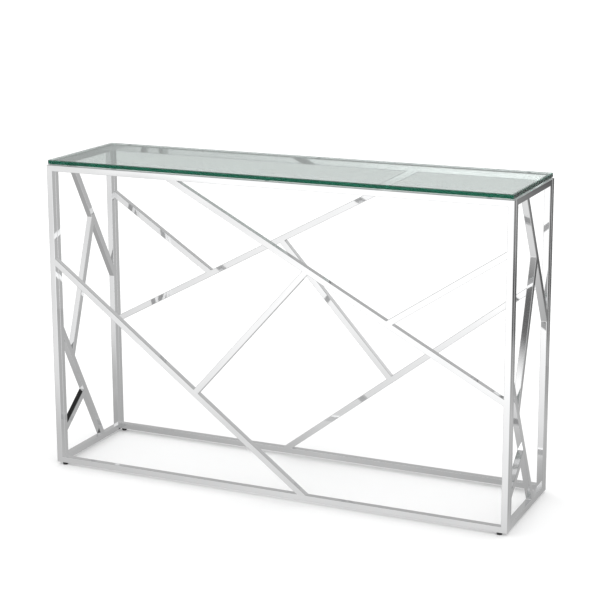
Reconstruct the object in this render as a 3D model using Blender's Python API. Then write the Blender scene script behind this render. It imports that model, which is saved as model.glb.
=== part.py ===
"""Console table: a welded square-tube frame in polished stainless steel under a clear glass top.

The frame is four mitred rectangles of square tube. The long front and back panels stand outside
two short end panels, and each panel is filled with four slanting bars. The glass lies on clear
pads, and four glides screw into rivet nuts in the bottom rails.

Units are metres and +Z is up. The front panel faces -Y, and the feet stand on Z = 0.
"""

import math

import bmesh
import bpy
from mathutils import Vector

# Driving dimensions
WIDTH = 1.200
DEPTH = 0.310
FRAME_HEIGHT = 0.770
FOOT_HEIGHT = 0.006
TUBE = 0.015
WALL = 0.0012
TUBE_RADIUS = 0.0012
GAP = 0.0003

# Glass top
GLASS_THICKNESS = 0.010
GLASS_INSET = 0.002
GLASS_CORNER_RADIUS = 0.004
GLASS_ARRIS = 0.0008

# Clear pads between frame and glass
PAD_THICKNESS = 0.002
PAD_RADIUS = 0.005
PAD_END_INSET = 0.060

# Screw-in glides and their rivet nuts
FOOT_RADIUS = 0.0065
FOOT_EDGE = 0.0012
FOOT_END_INSET = 0.020
STEM_RADIUS = 0.003
STEM_HEIGHT = 0.009
NUT_RADIUS = 0.0042
NUT_BULGE_RADIUS = 0.0056
NUT_BULGE = 0.0016
NUT_HEIGHT = 0.0085

# Long panel bars, measured across from the panel's middle and up from the frame's underside
STEEP_TOP_HEIGHT = 0.525
STEEP_FOOT_ACROSS = 0.087
GENTLE_TOP_ACROSS = -0.250
GENTLE_FOOT_HEIGHT = 0.309
LINK_FOOT_ACROSS = -0.199
LINK_HEAD_ACROSS = 0.1025
SHORT_FOOT_ACROSS = 0.303
SHORT_HEAD_HEIGHT = 0.646

# End panel bars, measured the same way, with across pointing to the back
UPPER_TOP_ACROSS = -0.050
UPPER_FOOT_HEIGHT = 0.445
LOWER_TOP_HEIGHT = 0.336
LOWER_FOOT_ACROSS = 0.047
MIDDLE_HEAD_ACROSS = 0.033
MIDDLE_FOOT_ACROSS = -0.086
PROP_HEAD_ACROSS = -0.031
PROP_FOOT_HEIGHT = 0.086

CORNER_STEPS = 3
ROUND_STEPS = 32
LEVEL = 0.0
UPRIGHT = math.pi / 2

# Colour, roughness and metallic value of each finish
STEEL = ((0.86, 0.87, 0.88), 0.04, 1.0)
ZINC = ((0.62, 0.63, 0.64), 0.35, 1.0)
GLASS = ((0.72, 0.86, 0.79), 0.02, 0.0)
CLEAR_PLASTIC = ((0.88, 0.90, 0.90), 0.15, 0.0)
BLACK_PLASTIC = ((0.015, 0.015, 0.016), 0.45, 0.0)


def clear_scene():
    """Remove every object of the scene."""
    for obj in list(bpy.data.objects):
        bpy.data.objects.remove(obj, do_unlink=True)


def add_object(name, mesh_builder, finish, parent=None, smooth=False):
    """Turn a finished bmesh into a named object with a material of its own."""
    mesh = bpy.data.meshes.new(name)
    bmesh.ops.recalc_face_normals(mesh_builder, faces=mesh_builder.faces)
    mesh_builder.to_mesh(mesh)
    mesh_builder.free()
    obj = bpy.data.objects.new(name, mesh)
    bpy.context.scene.collection.objects.link(obj)
    obj.parent = parent
    if finish:
        colour, roughness, metallic = finish
        material = bpy.data.materials.new(name)
        material.use_nodes = True
        shader = material.node_tree.nodes["Principled BSDF"]
        shader.inputs["Base Color"].default_value = (*colour, 1.0)
        shader.inputs["Roughness"].default_value = roughness
        shader.inputs["Metallic"].default_value = metallic
        mesh.materials.append(material)
    if smooth:
        mesh.shade_smooth()
        mesh.set_sharp_from_angle(angle=math.radians(35))
    return obj


def bridge(mesh_builder, loops, closed=False):
    """Join neighbouring rings of vertices with quads, and the last ring to the first if closed."""
    pairs = list(zip(loops, loops[1:]))
    if closed:
        pairs.append((loops[-1], loops[0]))
    for lower, upper in pairs:
        count = len(lower)
        for i in range(count):
            j = (i + 1) % count
            mesh_builder.faces.new((lower[i], lower[j], upper[j], upper[i]))


def rounded_rectangle(width, height, radius):
    """Corner arcs of a rectangle centred on the origin, as 2-D points in order."""
    points = []
    for turn, (side_x, side_y) in enumerate(((1, 1), (-1, 1), (-1, -1), (1, -1))):
        centre = Vector((side_x * (width / 2 - radius), side_y * (height / 2 - radius)))
        for step in range(CORNER_STEPS + 1):
            angle = (turn + step / CORNER_STEPS) * math.pi / 2
            points.append(centre + radius * Vector((math.cos(angle), math.sin(angle))))
    return points


def lathe(name, profile, finish, location):
    """Turn a closed profile of (radius, height) points about Z; radius 0 points become poles."""
    mesh_builder = bmesh.new()
    on_axis = [radius == 0 for radius, _ in profile]
    rings = []
    for radius, height in profile:
        if radius == 0:
            rings.append([mesh_builder.verts.new((0, 0, height))])
            continue
        ring = []
        for step in range(ROUND_STEPS):
            angle = math.tau * step / ROUND_STEPS
            ring.append(mesh_builder.verts.new((radius * math.cos(angle), radius * math.sin(angle), height)))
        rings.append(ring)
    if not any(on_axis):
        bridge(mesh_builder, rings, closed=True)
    else:
        bridge(mesh_builder, rings[1:-1])
        for pole, ring in ((rings[0], rings[1]), (rings[-1], rings[-2])):
            for i in range(ROUND_STEPS):
                mesh_builder.faces.new((pole[0], ring[i], ring[(i + 1) % ROUND_STEPS]))
    obj = add_object(name, mesh_builder, finish, smooth=True)
    obj.location = location
    return obj


class Line:
    """A straight line in a panel's plane, from one point to another, as (across, up) pairs."""

    def __init__(self, start, end):
        self.start = Vector(start)
        self.end = Vector(end)
        self.direction = (self.end - self.start).normalized()
        self.angle = math.atan2(self.direction.y, self.direction.x)

    def at_across(self, across):
        """Point of the line at this distance across."""
        reach = (across - self.start.x) / self.direction.x
        return self.start + reach * self.direction

    def meet(self, other):
        """Point where this line crosses the other."""
        between = other.start - self.start
        reach = between.cross(other.direction) / self.direction.cross(other.direction)
        return self.start + reach * self.direction

    def face(self, side):
        """The tube's face line, left (+1) or right (-1) of the line's direction."""
        offset = side * TUBE / 2 * Vector((-self.direction.y, self.direction.x))
        return Line(self.start + offset, self.end + offset)


def tube(name, panel, line, start_angle, end_angle, gap=GAP):
    """Square tube along a line, each end cut parallel to a face at the given angle."""
    length = (line.end - line.start).length
    ends = []
    for reach, cut, inward in ((0, start_angle, 1), (length, end_angle, -1)):
        relative = cut - line.angle
        ends.append((reach + inward * gap / abs(math.sin(relative)), 1 / math.tan(relative)))
    outer = rounded_rectangle(TUBE, TUBE, TUBE_RADIUS)
    bore = TUBE - 2 * WALL
    inner = rounded_rectangle(bore, bore, TUBE_RADIUS / 2)
    mesh_builder = bmesh.new()
    loops = []
    for outline, end in ((outer, ends[0]), (outer, ends[1]), (inner, ends[1]), (inner, ends[0])):
        reach, slope = end
        loops.append([mesh_builder.verts.new((reach + slope * p.y, p.x, p.y)) for p in outline])
    bridge(mesh_builder, loops, closed=True)
    obj = add_object(name, mesh_builder, STEEL, panel)
    obj.location = (line.start.x, 0, line.start.y)
    obj.rotation_euler = (0, -line.angle, 0)
    return obj


def panel_empty(name, location, turn):
    """Empty that carries one panel: its X runs across the panel and its Z up."""
    empty = bpy.data.objects.new(name, None)
    bpy.context.scene.collection.objects.link(empty)
    empty.location = location
    empty.rotation_euler = (0, 0, turn)
    return empty


def mitred_rectangle(panel, width, names):
    """Four tubes of a panel's edge: near upright, far upright, bottom rail and top rail."""
    side = width / 2 - TUBE / 2
    low = TUBE / 2
    high = FRAME_HEIGHT - TUBE / 2
    rising = math.pi / 4
    falling = -math.pi / 4
    near, far, bottom, top = names
    tube(near, panel, Line((-side, low), (-side, high)), rising, falling, GAP / 2)
    tube(far, panel, Line((side, low), (side, high)), falling, rising, GAP / 2)
    bottom_rail = tube(bottom, panel, Line((-side, low), (side, low)), rising, falling, GAP / 2)
    tube(top, panel, Line((-side, high), (side, high)), falling, rising, GAP / 2)
    return bottom_rail


def long_panel(prefix, location, turn, sides):
    """Front or back panel with its steep, gentle, link and short bars."""
    panel = panel_empty(f"{prefix}_panel", location, turn)
    names = [f"{prefix}_upright_{side}" for side in sides]
    names += [f"{prefix}_bottom_rail", f"{prefix}_top_rail"]
    bottom_rail = mitred_rectangle(panel, WIDTH, names)
    inner_side = WIDTH / 2 - TUBE
    underside = FRAME_HEIGHT - TUBE

    steep = Line((-inner_side, STEEP_TOP_HEIGHT), (STEEP_FOOT_ACROSS, TUBE))
    gentle = Line((GENTLE_TOP_ACROSS, underside), (inner_side, GENTLE_FOOT_HEIGHT))
    link_axis = Line(steep.at_across(LINK_FOOT_ACROSS), gentle.at_across(LINK_HEAD_ACROSS))
    link = Line(link_axis.meet(steep.face(1)), link_axis.meet(gentle.face(-1)))
    short_axis = Line(gentle.at_across(SHORT_FOOT_ACROSS), (inner_side, SHORT_HEAD_HEIGHT))
    short = Line(short_axis.meet(gentle.face(1)), short_axis.end)

    tube(f"{prefix}_steep_bar", panel, steep, UPRIGHT, LEVEL)
    tube(f"{prefix}_gentle_bar", panel, gentle, LEVEL, UPRIGHT)
    tube(f"{prefix}_link_bar", panel, link, steep.angle, gentle.angle)
    tube(f"{prefix}_short_bar", panel, short, gentle.angle, UPRIGHT)
    return bottom_rail


def end_panel(prefix, location):
    """Left or right end panel with its upper, lower, middle and prop bars."""
    panel = panel_empty(f"{prefix}_panel", location, UPRIGHT)
    width = DEPTH - 2 * (TUBE + GAP)
    names = [f"{prefix}_upright_front", f"{prefix}_upright_back"]
    names += [f"{prefix}_bottom_rail", f"{prefix}_top_rail"]
    mitred_rectangle(panel, width, names)
    inner_side = width / 2 - TUBE
    underside = FRAME_HEIGHT - TUBE

    upper = Line((UPPER_TOP_ACROSS, underside), (inner_side, UPPER_FOOT_HEIGHT))
    lower = Line((-inner_side, LOWER_TOP_HEIGHT), (LOWER_FOOT_ACROSS, TUBE))
    middle_axis = Line(upper.at_across(MIDDLE_HEAD_ACROSS), lower.at_across(MIDDLE_FOOT_ACROSS))
    middle = Line(middle_axis.meet(upper.face(-1)), middle_axis.meet(lower.face(1)))
    prop_axis = Line(lower.at_across(PROP_HEAD_ACROSS), (-inner_side, PROP_FOOT_HEIGHT))
    prop = Line(prop_axis.meet(lower.face(-1)), prop_axis.end)

    tube(f"{prefix}_upper_bar", panel, upper, LEVEL, UPRIGHT)
    tube(f"{prefix}_lower_bar", panel, lower, UPRIGHT, LEVEL)
    tube(f"{prefix}_middle_bar", panel, middle, upper.angle, lower.angle)
    tube(f"{prefix}_prop_bar", panel, prop, lower.angle, UPRIGHT)


def glass_top():
    """Float glass sheet with rounded corners and ground arrises."""
    base = FOOT_HEIGHT + FRAME_HEIGHT + PAD_THICKNESS + 2 * GAP
    width = WIDTH - 2 * GLASS_INSET
    depth = DEPTH - 2 * GLASS_INSET
    mesh_builder = bmesh.new()
    loops = []
    layers = (
        (GLASS_ARRIS, 0),
        (0, GLASS_ARRIS),
        (0, GLASS_THICKNESS - GLASS_ARRIS),
        (GLASS_ARRIS, GLASS_THICKNESS),
    )
    for shrink, height in layers:
        radius = GLASS_CORNER_RADIUS - shrink
        outline = rounded_rectangle(width - 2 * shrink, depth - 2 * shrink, radius)
        loops.append([mesh_builder.verts.new((p.x, p.y, height)) for p in outline])
    bridge(mesh_builder, loops)
    mesh_builder.faces.new(loops[0])
    mesh_builder.faces.new(loops[-1])
    obj = add_object("glass_top", mesh_builder, GLASS)
    obj.location = (0, 0, base)


def glass_pads():
    """Six clear discs on the long top rails: one near each corner and one at mid-length."""
    base = FOOT_HEIGHT + FRAME_HEIGHT + GAP
    across = WIDTH / 2 - PAD_END_INSET
    beside = DEPTH / 2 - TUBE / 2
    profile = (
        (0, 0),
        (PAD_RADIUS, 0),
        (PAD_RADIUS, PAD_THICKNESS / 2),
        (PAD_RADIUS - PAD_THICKNESS / 4, PAD_THICKNESS),
        (0, PAD_THICKNESS),
    )
    for row, y in (("front", -beside), ("back", beside)):
        for column, x in (("left", -across), ("middle", 0), ("right", across)):
            lathe(f"pad_{row}_{column}", profile, CLEAR_PLASTIC, (x, y, base))


def foot_sets(rails):
    """A glide and its rivet nut at each end of both bottom rails, and the hole for the nut."""
    foot_top = FOOT_HEIGHT - GAP
    foot_profile = (
        (0, 0),
        (FOOT_RADIUS - FOOT_EDGE, 0),
        (FOOT_RADIUS, FOOT_EDGE),
        (FOOT_RADIUS, foot_top),
        (STEM_RADIUS, foot_top),
        (STEM_RADIUS, foot_top + STEM_HEIGHT),
        (0, foot_top + STEM_HEIGHT),
    )
    bore = STEM_RADIUS + GAP
    grip = WALL + GAP
    nut_profile = (
        (bore, 0),
        (NUT_RADIUS, 0),
        (NUT_RADIUS, grip),
        (NUT_BULGE_RADIUS, grip),
        (NUT_BULGE_RADIUS, grip + NUT_BULGE),
        (NUT_RADIUS, grip + 2 * NUT_BULGE),
        (NUT_RADIUS, NUT_HEIGHT),
        (bore, NUT_HEIGHT),
    )
    across = WIDTH / 2 - FOOT_END_INSET
    beside = DEPTH / 2 - TUBE / 2
    for row, y in (("front", -beside), ("back", beside)):
        for column, x in (("left", -across), ("right", across)):
            place = f"{row}_{column}"
            lathe(f"foot_{place}", foot_profile, BLACK_PLASTIC, (x, y, 0))
            lathe(f"rivet_nut_{place}", nut_profile, ZINC, (x, y, FOOT_HEIGHT))
            drill(rails[row], f"nut_hole_{place}", NUT_RADIUS + GAP, (x, y, FOOT_HEIGHT))


def drill(target, name, radius, location):
    """Cut a round hole through the tube wall that faces down."""
    profile = ((0, -WALL), (radius, -WALL), (radius, 3 * WALL), (0, 3 * WALL))
    cutter = lathe(name, profile, None, location)
    cutter.hide_render = True
    cutter.display_type = "WIRE"
    cut = target.modifiers.new(name, "BOOLEAN")
    cut.operation = "DIFFERENCE"
    cut.solver = "EXACT"
    cut.object = cutter


def main():
    """Build the whole table."""
    clear_scene()
    beside = DEPTH / 2 - TUBE / 2
    end = WIDTH / 2 - TUBE / 2
    rails = {
        "front": long_panel("front", (0, -beside, FOOT_HEIGHT), 0, ("left", "right")),
        "back": long_panel("back", (0, beside, FOOT_HEIGHT), math.pi, ("right", "left")),
    }
    end_panel("left_end", (-end, 0, FOOT_HEIGHT))
    end_panel("right_end", (end, 0, FOOT_HEIGHT))
    glass_top()
    glass_pads()
    foot_sets(rails)


main()
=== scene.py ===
"""Console table: finished look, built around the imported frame.

Every CAD tube is swept again with fine corners, hollow walls and closed-up joints, weld beads are
added, and the glass, pads and glides are made as detailed pieces of the same size. Units are metres
and +Z is up.
"""

import math

import bmesh
import bpy
import numpy as np
from mathutils import Matrix, Vector


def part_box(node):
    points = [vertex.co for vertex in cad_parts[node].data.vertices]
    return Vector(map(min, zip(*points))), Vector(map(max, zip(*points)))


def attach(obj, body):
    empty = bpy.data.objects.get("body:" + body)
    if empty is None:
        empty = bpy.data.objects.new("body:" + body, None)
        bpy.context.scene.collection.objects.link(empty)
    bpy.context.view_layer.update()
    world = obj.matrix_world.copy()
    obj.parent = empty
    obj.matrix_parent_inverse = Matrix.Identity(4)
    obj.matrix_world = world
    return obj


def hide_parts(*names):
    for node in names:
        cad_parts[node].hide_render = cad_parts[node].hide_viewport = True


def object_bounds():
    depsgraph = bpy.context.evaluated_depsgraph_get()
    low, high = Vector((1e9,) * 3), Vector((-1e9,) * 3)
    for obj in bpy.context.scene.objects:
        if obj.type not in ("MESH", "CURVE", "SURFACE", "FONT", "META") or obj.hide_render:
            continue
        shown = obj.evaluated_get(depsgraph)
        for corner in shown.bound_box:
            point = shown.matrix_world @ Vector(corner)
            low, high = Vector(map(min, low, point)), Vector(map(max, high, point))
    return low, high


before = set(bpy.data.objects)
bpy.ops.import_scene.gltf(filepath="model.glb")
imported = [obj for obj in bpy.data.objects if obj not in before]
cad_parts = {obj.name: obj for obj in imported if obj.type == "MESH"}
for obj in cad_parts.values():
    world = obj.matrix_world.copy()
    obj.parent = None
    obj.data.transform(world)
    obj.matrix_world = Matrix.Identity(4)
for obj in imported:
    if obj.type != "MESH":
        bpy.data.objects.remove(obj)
cad_low, cad_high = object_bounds()

# Tubes: wall, outer corner radius, and the gap that the CAD leaves at each joint
WALL = 0.0012
TUBE_RADIUS = 0.0012
WELD_GAP = 0.0003

# Steps around a tube's corner, an arc, and a whole turn
CORNER_STEPS = 6
ARC_STEPS = 5
ROUND_STEPS = 64

# Reading a tube from its node: points this close lie on one face, and a direction is taken when it
# agrees this well with the first estimate
SAME_PLACE = 1e-5
SAME_DIRECTION = 0.9999

# A point is on a rounded outer corner when it is no further in than these shares of the corner
# radius, from the nearer side and from the other
FROM_NEAR_SIDE = 0.4
FROM_OTHER_SIDE = 1.05

# Depth of the cutter that drills a rail's hole
DRILL_DEPTH = 6 * WALL

# Offsets that give each side of a tube its own part of the texture
SIDE_OFFSET = 0.1
OPPOSITE_OFFSET = 0.03

# Weld bead: its leg, its root's depth in the steel, how far the middle of its curve is drawn from
# the corner as a share of the leg, and its (place, fullness) along its half length
BEAD_LEG = 0.0010
BEAD_ROOT = 0.0004
BEAD_HOLLOW = 0.12
BEAD_RUN = ((-1.0, 0.35), (-0.9, 1.0), (0.0, 1.0), (0.9, 1.0), (1.0, 0.35))

# Glass sheet: its lower and upper arris, its corners, and the steps around each
LOWER_ARRIS = 0.0006
UPPER_ARRIS = 0.0020
ARRIS_STEPS = 3
GLASS_CORNER = 0.004
GLASS_CORNER_STEPS = 8

# Pads: the edge of the foot, and the crown's share of the height
PAD_EDGE = 0.0002
PAD_CROWN = 0.6

# Glides: top of the foot, its rolled edge, the recess under it, the groove around it as (inward,
# height) points, and the stem
GLIDE_TOP = 0.0057
GLIDE_ROLL = 0.0012
GLIDE_RECESS = 0.0003
GROOVE = ((0.0, 0.0030), (0.0003, 0.0032), (0.0003, 0.0037), (0.0, 0.0039))
STEM_RADIUS = 0.003
STEM_EDGE = 0.0005

# Sharpest turn between faces that are shaded as one round surface, in degrees
TUBE_CREASE = 40
GLASS_CREASE = 50
TURNED_CREASE = 35

# Where most of a noise texture's values lie
NOISE_RANGE = (0.3, 0.7)

# How far a face of the glass may tilt and still be flat, and still be part of an edge, as its
# normal's height
FLAT_FACE = 0.99
EDGE_FACE = 0.1

# How ground the glass is, from its flat faces at 0 to its upper arris at 1, and each one's tint.
# The long edges' dark green is painted shade that makes them darker than the short edges.
ARRIS_ROUGHNESS = 0.40
LONG_EDGE = 0.25
SHORT_EDGE = 0.50
GLASS_TINTS_AND_EDGE_SHADE = (
    (0.0, (1.0, 0.98, 0.975)),
    # Painted shade: dark green on the long edges
    (LONG_EDGE, (0.18, 0.50, 0.43)),
    (SHORT_EDGE, (0.95, 0.99, 0.97)),
    (1.0, (0.90, 1.0, 0.96)),
)

# Camera, measured from the middle of the footprint
CAMERA_PLACE = (1.641, -3.544, 1.445)
CAMERA_YAW = math.radians(24.63)
CAMERA_PITCH = math.radians(12.11)
CAMERA_ROLL = math.radians(-0.28)
LENS = 98.9
SENSOR = 36.0
SHIFT_Y = -0.10

# Brightness of the even light, and of the backdrop seen through the glass
SKY = 1.33
BACKDROP = 1.15

# Studio floor, and the card under it that only mirrors see: left, right, front and back
FLOOR_SIZE = 60
MIRROR_FLOOR = (-6.0, 6.0, -4.0, 1.2)
MIRROR_FLOOR_DROP = 0.001

# Bounces between mirrors and inside the glass, and the most that a directly lit sample may give
MIRROR_BOUNCES = 16
GLASS_BOUNCES = 24
DIRECT_CLAMP = 1.05


# ---------------------------------------------------------------- materials


def new_material(name):
    """Empty node material with a Principled shader."""
    material = bpy.data.materials.new(name)
    material.use_nodes = True
    tree = material.node_tree
    return material, tree, tree.nodes["Principled BSDF"]


def noise(tree, output, scale, detail):
    """Noise over one of the texture coordinates, scaled along each axis."""
    coordinates = tree.nodes.new("ShaderNodeTexCoord")
    mapping = tree.nodes.new("ShaderNodeMapping")
    mapping.inputs["Scale"].default_value = scale
    tree.links.new(coordinates.outputs[output], mapping.inputs["Vector"])
    texture = tree.nodes.new("ShaderNodeTexNoise")
    texture.inputs["Scale"].default_value = 1.0
    texture.inputs["Detail"].default_value = detail
    tree.links.new(mapping.outputs["Vector"], texture.inputs["Vector"])
    return texture.outputs["Fac"]


def remap(tree, value, source, target):
    """The value's source range stretched to the target range."""
    node = tree.nodes.new("ShaderNodeMapRange")
    node.inputs["From Min"].default_value = source[0]
    node.inputs["From Max"].default_value = source[1]
    node.inputs["To Min"].default_value = target[0]
    node.inputs["To Max"].default_value = target[1]
    tree.links.new(value, node.inputs["Value"])
    return node.outputs["Result"]


def spread(tree, value, low, high):
    """The noise's usual range stretched to low and high."""
    return remap(tree, value, NOISE_RANGE, (low, high))


def calculate(tree, operation, *values):
    """Result of a math node on values that are numbers or other nodes' outputs."""
    node = tree.nodes.new("ShaderNodeMath")
    node.operation = operation
    for socket, value in zip(node.inputs, values):
        if isinstance(value, float):
            socket.default_value = value
        else:
            tree.links.new(value, socket)
    return node.outputs["Value"]


def colour_ramp(tree, factor, stops):
    """Colour along a factor, from (place, colour) stops."""
    node = tree.nodes.new("ShaderNodeValToRGB")
    elements = node.color_ramp.elements
    while len(elements) < len(stops):
        elements.new(0.5)
    for element, (place, colour) in zip(elements, stops):
        element.position = place
        element.color = (*colour, 1)
    tree.links.new(factor, node.inputs["Fac"])
    return node.outputs["Color"]


def bump(tree, height, distance, base=None):
    """Bump from a height, laid over an earlier bump if there is one."""
    node = tree.nodes.new("ShaderNodeBump")
    node.inputs["Strength"].default_value = 1.0
    node.inputs["Distance"].default_value = distance
    tree.links.new(height, node.inputs["Height"])
    if base:
        tree.links.new(base, node.inputs["Normal"])
    return node.outputs["Normal"]


def blend_colour(tree, factor, first, second):
    """Colour that runs from first to second over the noise's usual range."""
    return colour_ramp(tree, factor, ((NOISE_RANGE[0], first), (NOISE_RANGE[1], second)))


def polished_steel():
    """Mirror-polished stainless steel with fine lines along the tube and a slow waviness."""
    material, tree, shader = new_material("polished_steel")
    shader.inputs["Metallic"].default_value = 1.0
    lines = noise(tree, "UV", (6.0, 2600.0, 1.0), 3.0)
    haze = noise(tree, "UV", (9.0, 40.0, 1.0), 2.0)
    waves = noise(tree, "UV", (7.0, 30.0, 1.0), 1.0)
    tint = blend_colour(tree, haze, (0.845, 0.85, 0.855), (0.885, 0.887, 0.89))
    tree.links.new(tint, shader.inputs["Base Color"])
    tree.links.new(spread(tree, lines, 0.025, 0.065), shader.inputs["Roughness"])
    slow = bump(tree, waves, 0.00006)
    tree.links.new(bump(tree, lines, 0.0000004, base=slow), shader.inputs["Normal"])
    return material


def weld_steel():
    """Steel at a ground and polished weld: a little hazier, with finer ripple."""
    material, tree, shader = new_material("weld_steel")
    shader.inputs["Metallic"].default_value = 1.0
    ripple = noise(tree, "Object", (900.0, 900.0, 900.0), 2.0)
    tint = blend_colour(tree, ripple, (0.80, 0.805, 0.81), (0.87, 0.87, 0.87))
    tree.links.new(tint, shader.inputs["Base Color"])
    tree.links.new(spread(tree, ripple, 0.08, 0.20), shader.inputs["Roughness"])
    tree.links.new(bump(tree, ripple, 0.00003), shader.inputs["Normal"])
    return material


def float_glass():
    """Clear float glass, tinted green with depth by its iron, and frosted where it is ground; the
    long edges carry painted shade, a dark green base colour.
    """
    material, tree, shader = new_material("float_glass")
    shader.inputs["Transmission Weight"].default_value = 0.96
    shader.inputs["IOR"].default_value = 1.52
    shader.inputs["Specular Tint"].default_value = (0.10, 0.14, 0.12, 1)
    wipes = noise(tree, "Object", (14.0, 40.0, 1.0), 3.0)
    edge = tree.nodes.new("ShaderNodeAttribute")
    edge.attribute_name = "ground_edge"
    smears = spread(tree, wipes, 0.0, 0.015)
    rough = calculate(tree, "MULTIPLY_ADD", edge.outputs["Fac"], ARRIS_ROUGHNESS, smears)
    tree.links.new(rough, shader.inputs["Roughness"])
    # Base colour by face mark: the long edges' dark green is painted shade, the other tints are the
    # glass's own
    tint = colour_ramp(tree, edge.outputs["Fac"], GLASS_TINTS_AND_EDGE_SHADE)
    tree.links.new(tint, shader.inputs["Base Color"])
    volume = tree.nodes.new("ShaderNodeVolumeAbsorption")
    volume.inputs["Color"].default_value = (0.38, 0.72, 0.64, 1)
    volume.inputs["Density"].default_value = 20.0
    tree.links.new(volume.outputs["Volume"], tree.nodes["Material Output"].inputs["Volume"])
    return material


def clear_plastic():
    """Soft clear plastic of the pads, faintly clouded."""
    material, tree, shader = new_material("clear_plastic")
    shader.inputs["Transmission Weight"].default_value = 0.9
    shader.inputs["IOR"].default_value = 1.49
    cloud = noise(tree, "Object", (700.0, 700.0, 700.0), 2.0)
    tint = blend_colour(tree, cloud, (0.86, 0.89, 0.88), (0.94, 0.95, 0.95))
    tree.links.new(tint, shader.inputs["Base Color"])
    tree.links.new(spread(tree, cloud, 0.12, 0.25), shader.inputs["Roughness"])
    return material


def black_plastic():
    """Moulded black plastic with a fine grain and rubbed high spots."""
    material, tree, shader = new_material("black_plastic")
    grain = noise(tree, "Object", (2500.0, 2500.0, 2500.0), 3.0)
    rub = noise(tree, "Object", (350.0, 350.0, 350.0), 2.0)
    tint = blend_colour(tree, rub, (0.010, 0.010, 0.011), (0.022, 0.022, 0.023))
    tree.links.new(tint, shader.inputs["Base Color"])
    tree.links.new(spread(tree, rub, 0.38, 0.55), shader.inputs["Roughness"])
    tree.links.new(bump(tree, grain, 0.00004), shader.inputs["Normal"])
    return material


def zinc_plate():
    """Bright zinc plate on the rivet nuts, slightly mottled."""
    material, tree, shader = new_material("zinc_plate")
    shader.inputs["Metallic"].default_value = 1.0
    mottle = noise(tree, "Object", (600.0, 600.0, 600.0), 3.0)
    tint = blend_colour(tree, mottle, (0.55, 0.56, 0.58), (0.68, 0.68, 0.66))
    tree.links.new(tint, shader.inputs["Base Color"])
    tree.links.new(spread(tree, mottle, 0.28, 0.45), shader.inputs["Roughness"])
    tree.links.new(bump(tree, mottle, 0.00002), shader.inputs["Normal"])
    return material


# ---------------------------------------------------------------- mesh helpers


def new_object(name, builder, material=None):
    """Object in the scene, made from a finished bmesh."""
    mesh = bpy.data.meshes.new(name)
    builder.to_mesh(mesh)
    builder.free()
    if material:
        mesh.materials.append(material)
    obj = bpy.data.objects.new(name, mesh)
    bpy.context.scene.collection.objects.link(obj)
    return obj


def make_piece(name, builder, material, replaced=()):
    """Piece of the table from a finished bmesh, riding on the table's only body."""
    bmesh.ops.recalc_face_normals(builder, faces=builder.faces)
    piece = new_object(name, builder, material)
    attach(piece, "root")
    if replaced:
        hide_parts(*replaced)
    return piece


def shade_round(piece, angle):
    """Smooth shading up to the angle, with flat faces kept flat by weighted normals."""
    piece.data.shade_smooth()
    piece.data.set_sharp_from_angle(angle=math.radians(angle))
    weighted = piece.modifiers.new("flat_faces_true", "WEIGHTED_NORMAL")
    weighted.keep_sharp = True
    weighted.weight = 100


def bridge(builder, loops, closed=False):
    """Quads between neighbouring rings, and from the last ring to the first if closed."""
    pairs = list(zip(loops, loops[1:]))
    if closed:
        pairs.append((loops[-1], loops[0]))
    faces = []
    for lower, upper in pairs:
        for i in range(len(lower)):
            j = (i + 1) % len(lower)
            faces.append(builder.faces.new((lower[i], lower[j], upper[j], upper[i])))
    return faces


def rounded_rectangle(width, height, radius, steps=CORNER_STEPS):
    """Corner arcs of a rectangle centred on the origin, as 2-D points in order."""
    points = []
    for turn, (side_x, side_y) in enumerate(((1, 1), (-1, 1), (-1, -1), (1, -1))):
        centre = Vector((side_x * (width / 2 - radius), side_y * (height / 2 - radius)))
        for step in range(steps + 1):
            angle = (turn + step / steps) * math.pi / 2
            points.append(centre + radius * Vector((math.cos(angle), math.sin(angle))))
    return points


# ---------------------------------------------------------------- tubes


class Tube:
    """Axis, section and end cuts of a straight tube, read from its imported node."""

    def __init__(self, name):
        self.name = name
        corners = np.array([v.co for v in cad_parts[name].data.vertices], float)
        corners = np.unique(corners.round(6), axis=0)
        low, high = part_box(name)
        middle = np.array((low + high) / 2)
        self.deep = np.array((1, 0, 0) if "_end_" in name else (0, 1, 0), float)
        self.size = float(np.ptp(corners @ self.deep))
        self.axis = np.linalg.svd(corners - corners.mean(0), full_matrices=False)[2][0]
        self.axis -= self.deep * (self.axis @ self.deep)
        self.axis /= np.linalg.norm(self.axis)
        self.axis = self.snap(corners)
        self.wide = np.cross(self.deep, self.axis)
        across = corners @ self.wide
        self.centre = middle + self.wide * ((across.max() + across.min()) / 2 - middle @ self.wide)
        self.ends = self.read_ends(corners)

    def snap(self, corners):
        """Axis direction from the outer skin's straight edges, exact to the mesh."""
        best = self.axis
        half = self.size / 2
        deep = corners @ self.deep
        face = corners[np.abs(deep - deep.max()) < SAME_PLACE]
        wide = np.cross(self.deep, best)
        side = face[(face @ wide) > (face @ wide).max() - half]
        along = side @ best
        first, last = side[along.argmin()], side[along.argmax()]
        run = last - first
        run /= np.linalg.norm(run)
        return run if abs(run @ best) > SAME_DIRECTION else best

    def read_ends(self, corners):
        """For each end, the place along the axis at the centre line and the cut's slope."""
        local = corners - self.centre
        along, wide, deep = local @ self.axis, local @ self.wide, local @ self.deep
        outermost = np.maximum(np.abs(wide), np.abs(deep))
        innermost = np.minimum(np.abs(wide), np.abs(deep))
        skin = outermost > self.size / 2 - FROM_NEAR_SIDE * TUBE_RADIUS
        skin &= innermost > self.size / 2 - FROM_OTHER_SIDE * TUBE_RADIUS
        ends = []
        for pick in (along < 0, along > 0):
            chosen = skin & pick
            slope, place = np.polyfit(wide[chosen], along[chosen], 1)
            ends.append((place, slope))
        return ends

    def point(self, along, wide, deep):
        """World place of a point given in the tube's own directions."""
        return Vector(self.centre + along * self.axis + wide * self.wide + deep * self.deep)


def is_mitred(name):
    """Uprights and rails meet in mitres, and bars end against a tube's side."""
    return "_upright_" in name or name.endswith("_rail")


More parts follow.
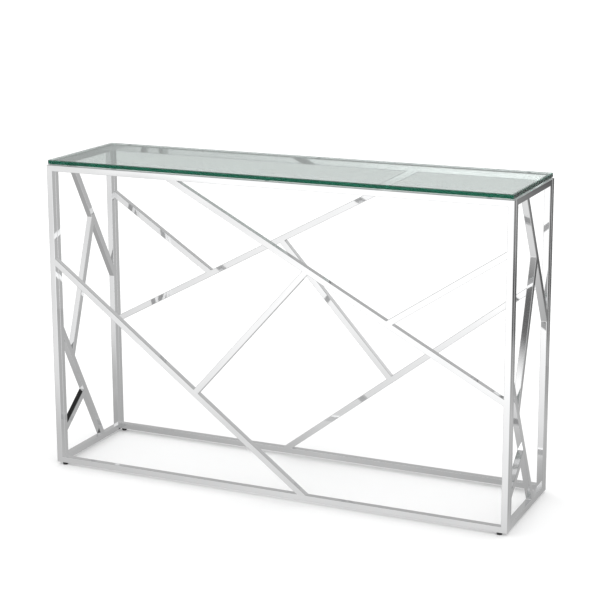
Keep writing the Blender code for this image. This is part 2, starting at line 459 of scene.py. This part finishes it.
def end_reach(tube, end, wide, deep, coped):
    """Distance along the axis at which the skin ends, closed up to the tube it meets."""
    place, slope = tube.ends[end]
    outward = -1 if end == 0 else 1
    stretch = math.sqrt(1 + slope * slope)
    grow = WELD_GAP / 2 if is_mitred(tube.name) else WELD_GAP
    if coped and not is_mitred(tube.name):
        beyond = max(0.0, abs(deep) - (tube.size / 2 - TUBE_RADIUS))
        grow += TUBE_RADIUS - math.sqrt(max(0.0, TUBE_RADIUS**2 - beyond**2))
    return place + slope * wide + outward * grow * stretch


def tube_rings(builder, tube, width, radius, coped):
    """The two end rings of one skin, as vertices."""
    outline = rounded_rectangle(width, width, radius)
    rings = []
    for end in (0, 1):
        ring = []
        for p in outline:
            reach = end_reach(tube, end, p.x, p.y, coped)
            ring.append(builder.verts.new(tube.point(reach, p.x, p.y)))
        rings.append(ring)
    return rings


def lay_tube_uv(builder, faces, tube):
    """Texture coordinates in metres: along the tube, and around its outline."""
    layer = builder.loops.layers.uv.new("along_tube")
    centre, axis, wide, deep = (Vector(v) for v in (tube.centre, tube.axis, tube.wide, tube.deep))
    for face in faces:
        normal = face.calc_center_median() - centre
        flat = wide if abs(normal @ deep) > abs(normal @ wide) else deep
        facing = normal @ deep if flat is wide else normal @ wide
        offset = SIDE_OFFSET if flat is wide else 2 * SIDE_OFFSET
        offset += OPPOSITE_OFFSET if facing > 0 else 0.0
        for loop in face.loops:
            place = loop.vert.co - centre
            loop[layer].uv = (place @ axis + sum(tube.centre), place @ flat + offset)


def sweep_tube(name, material):
    """Detailed hollow tube of the CAD node's size, its ends closed up to their neighbours."""
    tube = Tube(name)
    builder = bmesh.new()
    outer = tube_rings(builder, tube, tube.size, TUBE_RADIUS, True)
    inner = tube_rings(builder, tube, tube.size - 2 * WALL, TUBE_RADIUS / 2, False)
    faces = bridge(builder, (outer[0], outer[1], inner[1], inner[0]), closed=True)
    lay_tube_uv(builder, faces, tube)
    piece = make_piece(f"steel_{name}", builder, material, (name,))
    return tube, piece


def nut_hole_radius(nut):
    """Radius of the hole that a rivet nut's sleeve stands in."""
    corners = np.array([v.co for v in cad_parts[nut].data.vertices], float)
    low = corners[:, 2].min()
    foot = corners[corners[:, 2] < low + SAME_PLACE]
    middle = (corners.max(0) + corners.min(0)) / 2
    return float(np.linalg.norm((foot - middle)[:, :2], axis=1).max()) + WELD_GAP


def drill_rail(piece, nut_names):
    """Round holes in a rail's underside for its rivet nuts, cut into the mesh."""
    for nut in nut_names:
        low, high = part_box(nut)
        radius = nut_hole_radius(nut)
        place = Matrix.Translation(((low.x + high.x) / 2, (low.y + high.y) / 2, low.z))
        builder = bmesh.new()
        bmesh.ops.create_cone(
            builder, cap_ends=True, segments=ROUND_STEPS, radius1=radius, radius2=radius,
            depth=DRILL_DEPTH, matrix=place,
        )
        cutter = new_object("hole_cutter", builder)
        cut = piece.modifiers.new("hole", "BOOLEAN")
        cut.operation = "DIFFERENCE"
        cut.solver = "EXACT"
        cut.object = cutter
        graph = bpy.context.evaluated_depsgraph_get()
        drilled = bpy.data.meshes.new_from_object(piece.evaluated_get(graph))
        piece.modifiers.remove(cut)
        plain = piece.data
        drilled.name = plain.name
        piece.data = drilled
        bpy.data.meshes.remove(plain)
        bpy.data.objects.remove(cutter)


def build_tubes(material):
    """All the frame's tubes, returned for the weld beads at their ends."""
    tubes = []
    for name in sorted(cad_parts):
        if name.startswith(("front_", "back_", "left_end_", "right_end_")):
            tube, piece = sweep_tube(name, material)
            if name in ("front_bottom_rail", "back_bottom_rail"):
                side = name.split("_")[0]
                drill_rail(piece, [f"rivet_nut_{side}_left", f"rivet_nut_{side}_right"])
            shade_round(piece, TUBE_CREASE)
            tubes.append(tube)
    return tubes


def bead_section(tube, end, side):
    """Corner that a bead lies in, and the bead's outline, as points along and across the tube."""
    place, slope = tube.ends[end]
    outward = -1 if end == 0 else 1
    stretch = math.sqrt(1 + slope * slope)
    skin = tube.size / 2 * side
    corner = Vector((place + slope * skin + outward * WELD_GAP * stretch, skin))
    back = Vector((-outward, 0))
    cut = Vector((slope, 1)) / stretch * side
    hub = corner + BEAD_HOLLOW * BEAD_LEG * (back + cut)
    first, last = corner + BEAD_LEG * back, corner + BEAD_LEG * cut
    section = []
    for step in range(CORNER_STEPS + 1):
        t = step / CORNER_STEPS
        section.append((1 - t) ** 2 * first + 2 * t * (1 - t) * hub + t * t * last)
    into_tube = Vector((0, -side * BEAD_ROOT))
    into_neighbour = Vector((-cut.y, cut.x)) * BEAD_ROOT
    into_neighbour *= 1 if into_neighbour.x * outward > 0 else -1
    section.append(last + into_neighbour)
    section.append(corner + into_neighbour + into_tube)
    section.append(first + into_tube)
    return corner, section


def add_bead(builder, tube, end, side):
    """Concave weld bead in the corner where one side of a bar meets another tube."""
    corner, section = bead_section(tube, end, side)
    reach = tube.size / 2 - TUBE_RADIUS
    rings = []
    for place, fullness in BEAD_RUN:
        ring = []
        for p in section:
            q = corner + (p - corner) * fullness
            ring.append(builder.verts.new(tube.point(q.x, q.y, place * reach)))
        rings.append(ring)
    bridge(builder, rings)
    builder.faces.new(rings[0])
    builder.faces.new(rings[-1])


def build_welds(tubes, material):
    """Weld beads at both ends of every bar, one piece for each panel."""
    for panel in ("front", "back", "left_end", "right_end"):
        builder = bmesh.new()
        for tube in tubes:
            if tube.name.startswith(panel) and not is_mitred(tube.name):
                for end in (0, 1):
                    for side in (-1, 1):
                        add_bead(builder, tube, end, side)
        piece = make_piece(f"welds_{panel}", builder, material)
        shade_round(piece, TUBE_CREASE)


# ---------------------------------------------------------------- glass, pads and glides


def build_glass(material):
    """Glass sheet with round corners and softly rounded arrises, its faces marked by finish and by
    painted shade on the long edges.
    """
    low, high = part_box("glass_top")
    middle = (low + high) / 2
    width, depth = high.x - low.x, high.y - low.y
    angles = [step / ARRIS_STEPS * math.pi / 2 for step in range(ARRIS_STEPS + 1)]
    profile = []
    for angle in angles:
        inward, rise = LOWER_ARRIS * (1 - math.sin(angle)), LOWER_ARRIS * (1 - math.cos(angle))
        profile.append((inward, low.z + rise))
    for angle in angles:
        inward, drop = UPPER_ARRIS * (1 - math.cos(angle)), UPPER_ARRIS * (1 - math.sin(angle))
        profile.append((inward, high.z - drop))
    builder = bmesh.new()
    rings = []
    for inward, height in profile:
        sides = (width - 2 * inward, depth - 2 * inward)
        outline = rounded_rectangle(*sides, GLASS_CORNER - inward, GLASS_CORNER_STEPS)
        rings.append([builder.verts.new((middle.x + p.x, middle.y + p.y, height)) for p in outline])
    bridge(builder, rings)
    builder.faces.new(rings[0])
    builder.faces.new(rings[-1])
    piece = make_piece("glass_sheet", builder, material, ("glass_top",))
    # Face marks for grinding and for the painted shade on the long edges
    ground = piece.data.attributes.new("ground_edge", "FLOAT", "FACE")
    for face, mark in zip(piece.data.polygons, ground.data):
        if abs(face.normal.z) < FLAT_FACE:
            side = SHORT_EDGE if abs(face.normal.x) > 0.5 else LONG_EDGE
            mark.value = 1.0 if face.normal.z > EDGE_FACE else side
    shade_round(piece, GLASS_CREASE)


def turned_piece(name, profile, centre, material, replaced):
    """Solid turned about an upright axis from (radius, height) points, poles at both ends."""
    builder = bmesh.new()
    rings = []
    for radius, height in profile[1:-1]:
        ring = []
        for step in range(ROUND_STEPS):
            angle = math.tau * step / ROUND_STEPS
            x, y = centre.x + radius * math.cos(angle), centre.y + radius * math.sin(angle)
            ring.append(builder.verts.new((x, y, height)))
        rings.append(ring)
    bridge(builder, rings)
    for (_, height), ring in ((profile[0], rings[0]), (profile[-1], rings[-1])):
        pole = builder.verts.new((centre.x, centre.y, height))
        for i in range(ROUND_STEPS):
            builder.faces.new((pole, ring[i], ring[(i + 1) % ROUND_STEPS]))
    piece = make_piece(name, builder, material, replaced)
    shade_round(piece, TURNED_CREASE)


def arc(centre, radius, start, stop):
    """Points of an arc in the (radius, height) plane, between two angles in degrees."""
    points = []
    for step in range(ARC_STEPS + 1):
        angle = math.radians(start + (stop - start) * step / ARC_STEPS)
        points.append((centre[0] + radius * math.cos(angle), centre[1] + radius * math.sin(angle)))
    return points


def build_pads(material):
    """Clear bumpers with a flat foot and a softly crowned top."""
    for name in sorted(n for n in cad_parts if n.startswith("pad_")):
        low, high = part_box(name)
        centre = (low + high) / 2
        radius = (high.x - low.x) / 2
        crown = PAD_CROWN * (high.z - low.z)
        profile = [(0, low.z), (radius - PAD_EDGE, low.z), (radius, low.z + PAD_EDGE)]
        profile += arc((radius - crown, high.z - crown), crown, 0, 90)
        profile += [(0, high.z)]
        turned_piece(f"clear_{name}", profile, centre, material, (name,))


def build_glides(material):
    """Screw-in glides: a round foot with a rolled edge and a groove, and its stem."""
    for name in sorted(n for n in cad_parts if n.startswith("foot_")):
        low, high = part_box(name)
        centre = (low + high) / 2
        radius = (high.x - low.x) / 2
        top = cad_low.z + GLIDE_TOP
        recess = low.z + GLIDE_RECESS
        lower, upper = GLIDE_ROLL, GLIDE_ROLL / 2
        profile = [(0, recess), (radius - 3 * lower, recess), (radius - 2.8 * lower, low.z)]
        profile += arc((radius - lower, low.z + lower), lower, -90, 0)
        profile += [(radius - inward, low.z + height) for inward, height in GROOVE]
        profile += arc((radius - upper, top - upper), upper, 0, 90)
        profile += [(STEM_RADIUS, top), (STEM_RADIUS, high.z - STEM_EDGE)]
        profile += [(STEM_RADIUS - STEM_EDGE, high.z), (0, high.z)]
        turned_piece(f"glide_{name}", profile, centre, material, (name,))


# ---------------------------------------------------------------- studio


def build_floor():
    """Pale studio floor, plain and matt, that mirrors do not pick up."""
    builder = bmesh.new()
    bmesh.ops.create_grid(builder, x_segments=2, y_segments=2, size=FLOOR_SIZE)
    material, tree, shader = new_material("studio_floor")
    shade = noise(tree, "Object", (0.7, 0.7, 0.7), 2.0)
    tint = blend_colour(tree, shade, (0.925, 0.925, 0.925), (0.935, 0.935, 0.935))
    tree.links.new(tint, shader.inputs["Base Color"])
    shader.inputs["Roughness"].default_value = 1.0
    shader.inputs["Specular IOR Level"].default_value = 0.0
    floor = new_object("studio_floor", builder, material)
    floor.location.z = cad_low.z
    floor.visible_glossy = False
    floor.visible_transmission = False


def grey_ramp(tree, factor, low, high, stops):
    """Grey tones along a factor, from (place, tone) stops between low and high."""
    colours = [((place - low) / (high - low), (tone, tone, tone)) for place, tone in stops]
    return colour_ramp(tree, remap(tree, factor, (low, high), (0.0, 1.0)), colours)


def mix_colours(tree, factor, first, second):
    """Colour mixed from two others by a factor, with the Mix node's last inputs for colours."""
    node = tree.nodes.new("ShaderNodeMix")
    node.data_type = "RGBA"
    factor_input, *_, first_input, second_input = node.inputs[:8]
    tree.links.new(factor, factor_input)
    tree.links.new(first, first_input)
    tree.links.new(second, second_input)
    return node.outputs[2]


def blend_bands(tree, across, along, low, high, bands):
    """Ramps along one value, laid side by side across another.

    Each band is (from, to, stops): it fades in between the first two, and its stops lie between
    low and high. The first band needs no fade.
    """
    result = grey_ramp(tree, along, low, high, bands[0][2])
    for start, end, stops in bands[1:]:
        tones = grey_ramp(tree, along, low, high, stops)
        fade = remap(tree, across, (start, end), (0.0, 1.0))
        result = mix_colours(tree, fade, result, tones)
    return result


# Tones of the studio as a mirror sees it: (bearing, tone) stops, with the bearing in degrees
# from the back (+Y) towards the right (+X). The light is strongest to the left of the front.
LEFT_SIDE = ((-147, 0.87), (-144, 0.80), (-135, 0.74), (-90, 0.60), (-40, 0.50), (0, 0.46))
LIT_LEFT = (
    (-180, 0.85), (-172, 0.95), (-165, 1.45), (-163, 1.50), (-160, 1.42), (-157, 1.33),
    (-155, 1.26), (-152, 1.19), (-151, 1.11), (-150, 1.01),
) + LEFT_SIDE
BRIGHT_LEFT = (
    (-180, 0.85), (-172, 1.00), (-165, 2.30), (-163, 2.40), (-160, 2.10), (-157.5, 1.70),
    (-155, 1.44), (-151, 1.34), (-149, 1.02),
) + LEFT_SIDE
LIT_RIGHT = ((30, 0.50), (40, 0.53), (90, 0.55), (140, 0.75), (160, 0.85), (180, 0.85))

# The same at the table's height and above it
LEVEL_LEFT = (
    (-180, 0.9), (-172, 1.0), (-165, 1.36), (-163, 1.4), (-160, 1.36), (-157, 1.28),
    (-150, 0.98), (-146, 0.87), (-135, 0.76), (-90, 0.60),
)
LEVEL_RIGHT = ((90, 0.55), (140, 0.75), (165, 0.9), (180, 0.9))

# Each band starts and ends its fade at heights on the unit sphere. The low bands hold the dark
# strip that the right-hand uprights mirror.
STUDIO_BANDS = (
    (-1.0, -1.0, LIT_LEFT + ((10, 0.42), (15.8, 0.40), (17.0, 0.32), (25, 0.36)) + LIT_RIGHT),
    (-0.274, -0.262, LIT_LEFT + (
        (10, 0.36), (15.8, 0.27), (17.0, 0.11), (20, 0.12), (25, 0.25),
    ) + LIT_RIGHT),
    (-0.248, -0.236, LIT_LEFT + (
        (10, 0.25), (15.8, 0.13), (17.0, 0.10), (20, 0.12), (25, 0.25),
    ) + LIT_RIGHT),
    (-0.228, -0.214, LIT_LEFT + (
        (10, 0.22), (15.8, 0.09), (17.0, 0.24), (20, 0.25), (25, 0.32),
    ) + LIT_RIGHT),
    (-0.208, -0.196, LIT_LEFT + (
        (10, 0.25), (15.8, 0.13), (17.0, 0.26), (20, 0.26), (25, 0.32),
    ) + LIT_RIGHT),
    (-0.183, -0.166, BRIGHT_LEFT + ((8, 0.25), (13, 0.08), (20, 0.08), (25, 0.25)) + LIT_RIGHT),
    (-0.08, 0.02, LEVEL_LEFT + (
        (-50, 0.42), (-40, 0.34), (0, 0.34), (18, 0.40), (30, 0.50),
    ) + LEVEL_RIGHT),
    (0.25, 0.31, LEVEL_LEFT + (
        (-37, 0.50), (-8, 0.50), (0, 0.55), (18, 0.78), (30, 0.60),
    ) + LEVEL_RIGHT),
    (0.335, 0.362, (
        (-180, 0.14), (-160, 0.14), (-154, 0.55), (-147, 0.84), (-135, 0.70), (-90, 0.45),
        (-36, 0.46), (-8, 0.48), (0, 0.50), (18, 0.68), (40, 0.45), (90, 0.42), (140, 0.50),
        (165, 0.25), (180, 0.14),
    )),
    (0.385, 0.42, (
        (-180, 0.60), (-160, 0.60), (-147, 0.74), (-90, 0.40), (-36, 0.46), (0, 0.50),
        (18, 0.55), (40, 0.45), (90, 0.42), (150, 0.60), (180, 0.60),
    )),
    (0.46, 0.56, (
        (-180, 0.40), (-147, 0.60), (-90, 0.32), (-36, 0.40), (5, 0.59), (30, 0.45),
        (90, 0.40), (150, 0.60), (180, 0.40),
    )),
    (0.68, 0.84, (
        (-180, 0.35), (-131, 0.36), (-116, 0.45), (-108, 0.025), (-90, 0.03), (-80, 0.28),
        (-30, 0.45), (20, 0.30), (60, 0.40), (110, 0.08), (130, 0.36), (180, 0.35),
    )),
)

# Tones of the floor as a mirror sees it, by distance from front to back, in columns from left to
# right. They are a painted shadow, greyest beside the table, and painted light that brightens
# towards the lit front.
FLOOR_LIGHT_AND_SHADE = (
    (-3.0, -3.0, (
        (-4.0, 0.90), (-2.7, 0.80), (-2.1, 0.78), (-1.5, 0.66), (-1.0, 0.56), (-0.4, 0.42),
        (0.3, 0.45), (1.2, 0.48),
    )),
    (-2.4, -1.2, (
        (-4.0, 1.95), (-3.4, 1.15), (-3.0, 1.08), (-2.2, 1.02), (-1.7, 0.95), (-1.35, 0.91),
        (-1.05, 0.87), (-0.8, 0.78), (-0.6, 0.66), (-0.42, 0.50), (-0.28, 0.34), (0.0, 0.33),
        (0.3, 0.44), (1.2, 0.48),
    )),
    (-1.2, -0.65, (
        (-4.0, 2.3), (-3.3, 1.5), (-2.4, 1.28), (-1.7, 1.15), (-1.35, 1.05), (-1.05, 0.99),
        (-0.8, 0.90), (-0.6, 0.78), (-0.42, 0.66), (-0.28, 0.61), (-0.19, 0.58), (-0.1, 0.47),
        (0.1, 0.42), (0.3, 0.46), (1.2, 0.50),
    )),
    (-0.65, 0.0, (
        (-4.0, 2.3), (-2.4, 1.5), (-1.7, 1.22), (-1.35, 1.08), (-1.05, 1.0), (-0.8, 0.93),
        (-0.6, 0.88), (-0.42, 0.84), (-0.28, 0.79), (-0.1, 0.74), (0.1, 0.57), (0.3, 0.46),
        (1.2, 0.50),
    )),
    (0.0, 0.6, (
        (-4.0, 0.85), (-2.4, 0.90), (-1.9, 1.30), (-1.7, 1.50), (-1.35, 1.32), (-1.05, 1.15),
        (-0.8, 1.06), (-0.6, 0.99), (-0.42, 0.91), (-0.28, 0.83), (-0.19, 0.78), (-0.12, 0.52),
        (0.02, 0.42), (0.3, 0.46), (0.65, 0.53), (0.95, 0.40), (1.2, 0.34),
    )),
)


def build_mirror_floor():
    """Floor that only mirrors see, a glowing card with a painted shadow: the soft grey that falls
    around a lit table.
    """
    left, right, front, back = MIRROR_FLOOR
    height = cad_low.z - MIRROR_FLOOR_DROP
    builder = bmesh.new()
    corners = [(left, front), (right, front), (right, back), (left, back)]
    builder.faces.new([builder.verts.new((x, y, height)) for x, y in corners])
    material, tree, shader = new_material("mirror_floor")
    tree.nodes.remove(shader)
    place = tree.nodes.new("ShaderNodeTexCoord")
    parts = tree.nodes.new("ShaderNodeSeparateXYZ")
    tree.links.new(place.outputs["Object"], parts.inputs["Vector"])
    across, along = parts.outputs["X"], parts.outputs["Y"]
    tones = blend_bands(tree, across, along, front, back, FLOOR_LIGHT_AND_SHADE)
    glow = tree.nodes.new("ShaderNodeEmission")
    tree.links.new(tones, glow.inputs["Color"])
    tree.links.new(glow.outputs["Emission"], tree.nodes["Material Output"].inputs["Surface"])
    material.cycles.emission_sampling = "NONE"
    card = new_object("mirror_floor", builder, material)
    card.visible_camera = False
    card.visible_diffuse = False
    card.visible_transmission = False
    card.visible_shadow = False


def background(tree, strength):
    """Even white light of the given strength."""
    node = tree.nodes.new("ShaderNodeBackground")
    node.inputs["Color"].default_value = (1, 1, 1, 1)
    node.inputs["Strength"].default_value = strength
    return node


def mix_shaders(tree, factor, first, second):
    """Shader mixed from two others by a factor."""
    node = tree.nodes.new("ShaderNodeMixShader")
    tree.links.new(factor, node.inputs[0])
    tree.links.new(first, node.inputs[1])
    tree.links.new(second, node.inputs[2])
    return node.outputs["Shader"]


def build_world():
    """Even white light, for mirrors a studio's walls, and for the glass an even backdrop."""
    world = bpy.data.worlds.new("studio")
    bpy.context.scene.world = world
    world.use_nodes = True
    tree = world.node_tree
    tree.nodes.clear()
    coordinates = tree.nodes.new("ShaderNodeTexCoord")
    parts = tree.nodes.new("ShaderNodeSeparateXYZ")
    tree.links.new(coordinates.outputs["Generated"], parts.inputs["Vector"])
    height = parts.outputs["Z"]
    turn = calculate(tree, "ARCTAN2", parts.outputs["X"], parts.outputs["Y"])
    bearing = calculate(tree, "DEGREES", turn)
    walls = background(tree, 1.0)
    tones = blend_bands(tree, height, bearing, -180.0, 180.0, STUDIO_BANDS)
    tree.links.new(tones, walls.inputs["Color"])
    light = background(tree, SKY).outputs["Background"]
    backdrop = background(tree, BACKDROP).outputs["Background"]
    path = tree.nodes.new("ShaderNodeLightPath")
    mirrored = path.outputs["Is Glossy Ray"]
    seen = mix_shaders(tree, mirrored, light, walls.outputs["Background"])
    downward = calculate(tree, "LESS_THAN", height, 0.0)
    through = calculate(tree, "MULTIPLY", path.outputs["Is Transmission Ray"], downward)
    output = tree.nodes.new("ShaderNodeOutputWorld")
    shown = mix_shaders(tree, through, seen, backdrop)
    tree.links.new(shown, output.inputs["Surface"])


def build_camera():
    """Camera at the height and bearing from which the front and right end show."""
    data = bpy.data.cameras.new("camera")
    data.lens = LENS
    data.sensor_width = SENSOR
    data.shift_y = SHIFT_Y
    data.clip_end = 200.0
    camera = bpy.data.objects.new("camera", data)
    bpy.context.scene.collection.objects.link(camera)
    turn = Matrix.Rotation(CAMERA_YAW, 4, "Z")
    tilt = Matrix.Rotation(math.pi / 2 - CAMERA_PITCH, 4, "X")
    roll = Matrix.Rotation(CAMERA_ROLL, 4, "Z")
    camera.matrix_world = Matrix.Translation(CAMERA_PLACE) @ turn @ tilt @ roll
    bpy.context.scene.camera = camera


def set_light_paths():
    """Enough bounces for light that runs the depth of the glass, and true tones."""
    scene = bpy.context.scene
    scene.view_settings.view_transform = "Standard"
    scene.cycles.max_bounces = GLASS_BOUNCES
    scene.cycles.glossy_bounces = MIRROR_BOUNCES
    scene.cycles.transmission_bounces = GLASS_BOUNCES
    scene.cycles.sample_clamp_direct = DIRECT_CLAMP


def main():
    """Build the pieces, give every carried node its material, and light the table."""
    steel = polished_steel()
    build_welds(build_tubes(steel), weld_steel())
    build_glass(float_glass())
    build_pads(clear_plastic())
    build_glides(black_plastic())
    zinc = zinc_plate()
    for name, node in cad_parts.items():
        if name.startswith("rivet_nut_"):
            node.data.materials.clear()
            node.data.materials.append(zinc)
    build_floor()
    build_mirror_floor()
    build_world()
    build_camera()
    set_light_paths()


main()
